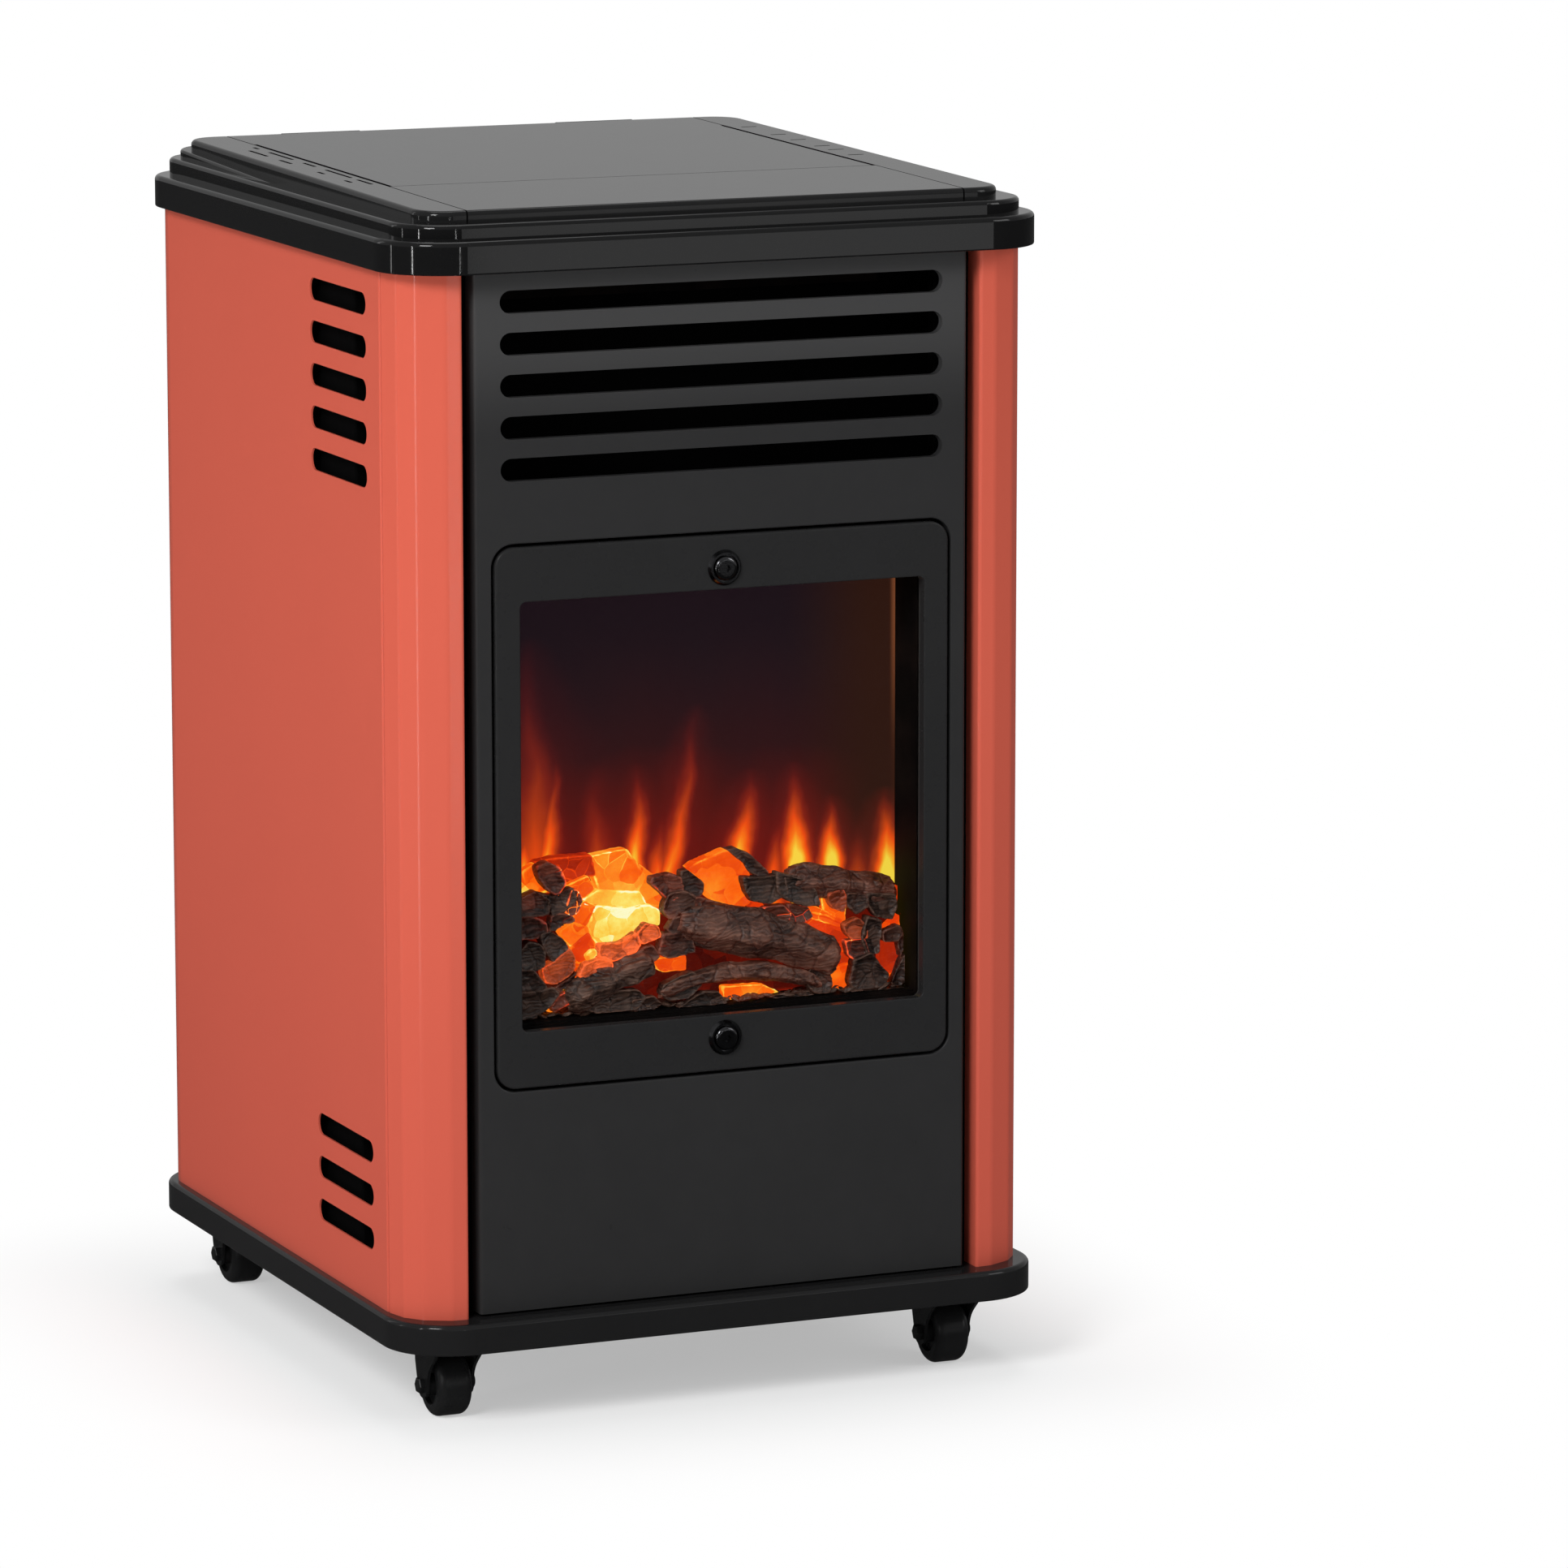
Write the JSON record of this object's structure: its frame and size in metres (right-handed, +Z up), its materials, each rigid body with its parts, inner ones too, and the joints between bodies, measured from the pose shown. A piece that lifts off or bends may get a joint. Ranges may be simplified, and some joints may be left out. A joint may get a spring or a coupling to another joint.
{
  "type": "portable gas cabinet heater",
  "caption": "Portable gas heater in a tall cabinet on castors, with a glazed log fire window, a louvred warm air outlet and controls under a rear-hinged lid.",
  "frame": {"origin": "on the floor, under the middle of the cabinet", "axes": "+X to the right seen from the front, +Y to the back, +Z up"},
  "size_m": [0.428, 0.476, 0.7496],
  "materials": {
    "coral_paint": "satin",
    "black_paint": "satin",
    "black_moulding": "satin",
    "castor_wheel": "matte",
    "castor_paint": "satin black",
    "firebox_steel": "matt heat-resistant black",
    "window_glass": "smoked, polished",
    "gasket": "matte",
    "bright_steel": "polished",
    "ceramic_char": "rough, charred",
    "ceramic_ember": "rough, glowing",
    "brass_fitting": "machined",
    "copper_pipe": "drawn copper",
    "igniter_plastic": "satin"
  },
  "bodies": {
    "cabinet": {"base_tray": "black_moulding", "burner_injector": "brass_fitting", "burner_shelf": "firebox_steel", "burner_tube": "firebox_steel", "casing_screws": "bright_steel", "castor_plates": "castor_paint", "chassis_channels": "black_paint", "control_fascia": "black_moulding", "cover_catches": "black_moulding", "ember_bed": "ceramic_ember", "ember_blocks": "ceramic_ember", "firebox_liner": "firebox_steel", "flame_screen": "firebox_steel", "frame_cup_washers": "bright_steel", "frame_screws": "bright_steel", "front_panel": "black_paint", "front_top_strip": "black_moulding", "gas_feed_pipe": "copper_pipe", "gas_inlet": "brass_fitting", "gas_valve": "brass_fitting", "glass_gasket": "gasket", "heat_deflector": "firebox_steel", "igniter_body": "igniter_plastic", "left_corner_column": "coral_paint", "left_side_panel": "coral_paint", "left_top_cap": "black_moulding", "lid_hinge_pins": "bright_steel", "log_centre": "ceramic_char", "log_left_front": "ceramic_char", "log_right_rear": "ceramic_char", "log_tray": "firebox_steel", "pilot_burner": "bright_steel", "pilot_pipe": "copper_pipe", "rear_bulkhead": "black_paint", "right_corner_column": "coral_paint", "right_side_panel": "coral_paint", "right_top_cap": "black_moulding", "spark_electrode": "bright_steel", "thermocouple": "copper_pipe", "top_housing": "black_moulding", "window_frame": "black_paint", "window_glass": "window_glass"},
    "control_lid": {"control_lid": "black_moulding"},
    "valve_plunger": {"valve_plunger": "bright_steel"},
    "control_knob": {"control_knob": "black_moulding", "valve_spindle": "bright_steel"},
    "igniter_button": {"igniter_button": "igniter_plastic"},
    "rear_cover": {"rear_cover": "black_paint"},
    "castor_fork_front_left": {"castor_fork_front_left": "castor_paint", "castor_axle_front_left": "castor_paint"},
    "castor_wheel_front_left": {"castor_wheel_front_left": "castor_wheel"},
    "castor_fork_front_right": {"castor_fork_front_right": "castor_paint", "castor_axle_front_right": "castor_paint"},
    "castor_wheel_front_right": {"castor_wheel_front_right": "castor_wheel"},
    "castor_fork_rear_left": {"castor_fork_rear_left": "castor_paint", "castor_axle_rear_left": "castor_paint"},
    "castor_wheel_rear_left": {"castor_wheel_rear_left": "castor_wheel"},
    "castor_fork_rear_right": {"castor_fork_rear_right": "castor_paint", "castor_axle_rear_right": "castor_paint"},
    "castor_wheel_rear_right": {"castor_wheel_rear_right": "castor_wheel"}
  },
  "joints": [
    {"name": "lid_hinge", "type": "hinge", "parent": "cabinet", "child": "control_lid", "pos_m": [0, 0.219, 0.745], "axis": [-1, 0, 0], "range_deg": [0, 95]},
    {"name": "knob_push", "type": "slide", "parent": "cabinet", "child": "valve_plunger", "axis": [0, 0, -1], "range_m": [0, 0.004], "stiffness_N_per_m": 2000, "springref_m": -0.003},
    {"name": "knob_turn", "type": "hinge", "parent": "valve_plunger", "child": "control_knob", "pos_m": [-0.048, -0.02, 0.715], "axis": [0, 0, 1], "range_deg": [0, 210]},
    {"name": "igniter_push", "type": "slide", "parent": "cabinet", "child": "igniter_button", "axis": [0, 0, -1], "range_m": [0, 0.007], "stiffness_N_per_m": 1500, "springref_m": -0.004},
    {"name": "rear_cover_pull", "type": "slide", "parent": "cabinet", "child": "rear_cover", "axis": [0, 1, 0], "range_m": [0, 0.08]},
    {"name": "castor_swivel_front_left", "type": "hinge", "parent": "cabinet", "child": "castor_fork_front_left", "pos_m": [-0.167, -0.187, 0.0523], "axis": [0, 0, 1], "continuous": true},
    {"name": "castor_roll_front_left", "type": "hinge", "parent": "castor_fork_front_left", "child": "castor_wheel_front_left", "pos_m": [-0.167, -0.177, 0.02], "axis": [1, 0, 0], "continuous": true},
    {"name": "castor_swivel_front_right", "type": "hinge", "parent": "cabinet", "child": "castor_fork_front_right", "pos_m": [0.167, -0.187, 0.0523], "axis": [0, 0, 1], "continuous": true},
    {"name": "castor_roll_front_right", "type": "hinge", "parent": "castor_fork_front_right", "child": "castor_wheel_front_right", "pos_m": [0.167, -0.177, 0.02], "axis": [1, 0, 0], "continuous": true},
    {"name": "castor_swivel_rear_left", "type": "hinge", "parent": "cabinet", "child": "castor_fork_rear_left", "pos_m": [-0.167, 0.187, 0.0523], "axis": [0, 0, 1], "continuous": true},
    {"name": "castor_roll_rear_left", "type": "hinge", "parent": "castor_fork_rear_left", "child": "castor_wheel_rear_left", "pos_m": [-0.167, 0.197, 0.02], "axis": [1, 0, 0], "continuous": true},
    {"name": "castor_swivel_rear_right", "type": "hinge", "parent": "cabinet", "child": "castor_fork_rear_right", "pos_m": [0.167, 0.187, 0.0523], "axis": [0, 0, 1], "continuous": true},
    {"name": "castor_roll_rear_right", "type": "hinge", "parent": "castor_fork_rear_right", "child": "castor_wheel_rear_right", "pos_m": [0.167, 0.197, 0.02], "axis": [1, 0, 0], "continuous": true}
  ]
}
